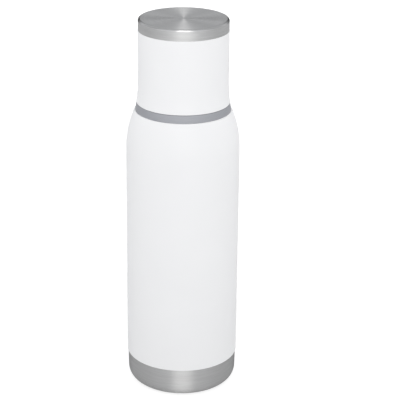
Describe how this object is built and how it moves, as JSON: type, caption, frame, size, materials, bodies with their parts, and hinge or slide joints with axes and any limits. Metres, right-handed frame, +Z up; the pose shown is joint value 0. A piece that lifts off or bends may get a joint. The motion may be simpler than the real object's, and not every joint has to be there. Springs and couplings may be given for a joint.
{
  "type": "vacuum flask",
  "caption": "White-coated steel vacuum flask with bare steel base, grey collar, screw stopper with pour grooves, and a screw-on drinking cup with a steel end.",
  "frame": {"origin": "centre of the foot ring, on the surface that the flask stands on", "axes": "+Z up along the flask's axis, -Y towards the picture's camera"},
  "size_m": [0.093, 0.093, 0.3159],
  "materials": {
    "white_coat": "white powder coat, satin, on stainless steel",
    "brushed_steel": "bare stainless steel, brushed round the axis",
    "liner_steel": "electropolished stainless steel",
    "copper": "thin copper sheet",
    "solder_glass": "solder-glass plug",
    "getter": "sintered pill",
    "collar_plastic": "satin grey, metallic tint",
    "stopper_plastic": "fine moulded grain",
    "cup_plastic": "moulded, fine grain",
    "foam": "closed-cell insulating foam",
    "silicone": "soft silicone"
  },
  "bodies": {
    "bottle": {"outer_shell": "white_coat", "base_cup": "brushed_steel", "base_plate": "brushed_steel", "evacuation_seal": "solder_glass", "getter_clip": "liner_steel", "getter": "getter", "inner_liner": "liner_steel", "liner_bottom": "liner_steel", "radiation_shield": "copper", "neck_collar": "collar_plastic"},
    "stopper_gasket": {"stopper_gasket": "silicone"},
    "stopper_plug_seal": {"stopper_plug_seal": "silicone"},
    "stopper": {"stopper_body": "stopper_plastic", "stopper_cover": "stopper_plastic", "stopper_foam": "foam", "stopper_bottom": "stopper_plastic"},
    "cup_washer": {"cup_washer": "silicone"},
    "cup_liner_seal": {"cup_liner_seal": "silicone"},
    "cup": {"cup_shell": "white_coat", "cup_liner": "cup_plastic", "cup_foam": "foam", "cup_end_cap": "brushed_steel"}
  },
  "joints": [
    {"name": "stopper_lift", "type": "slide", "parent": "bottle", "child": "stopper_gasket", "axis": [0, 0, 1], "range_m": [0, 0.024]},
    {"name": "stopper_rise", "type": "slide", "parent": "stopper_gasket", "child": "stopper_plug_seal", "axis": [0, 0, 1], "range_m": [0, 0.005]},
    {"name": "stopper_turn", "type": "hinge", "parent": "stopper_plug_seal", "child": "stopper", "pos_m": [0, 0, 0.2526], "axis": [0, 0, 1], "range_deg": [0, 450]},
    {"name": "cup_lift", "type": "slide", "parent": "bottle", "child": "cup_washer", "axis": [0, 0, 1], "range_m": [0, 0.096]},
    {"name": "cup_rise", "type": "slide", "parent": "cup_washer", "child": "cup_liner_seal", "axis": [0, 0, 1], "range_m": [0, 0.005]},
    {"name": "cup_turn", "type": "hinge", "parent": "cup_liner_seal", "child": "cup", "pos_m": [0, 0, 0.2826], "axis": [0, 0, 1], "range_deg": [0, 450]}
  ],
  "couplings": [
    {"joint": "stopper_rise", "follows": "stopper_turn", "m_per_rad": 0.00063662},
    {"joint": "cup_rise", "follows": "cup_turn", "m_per_rad": 0.00063662}
  ]
}
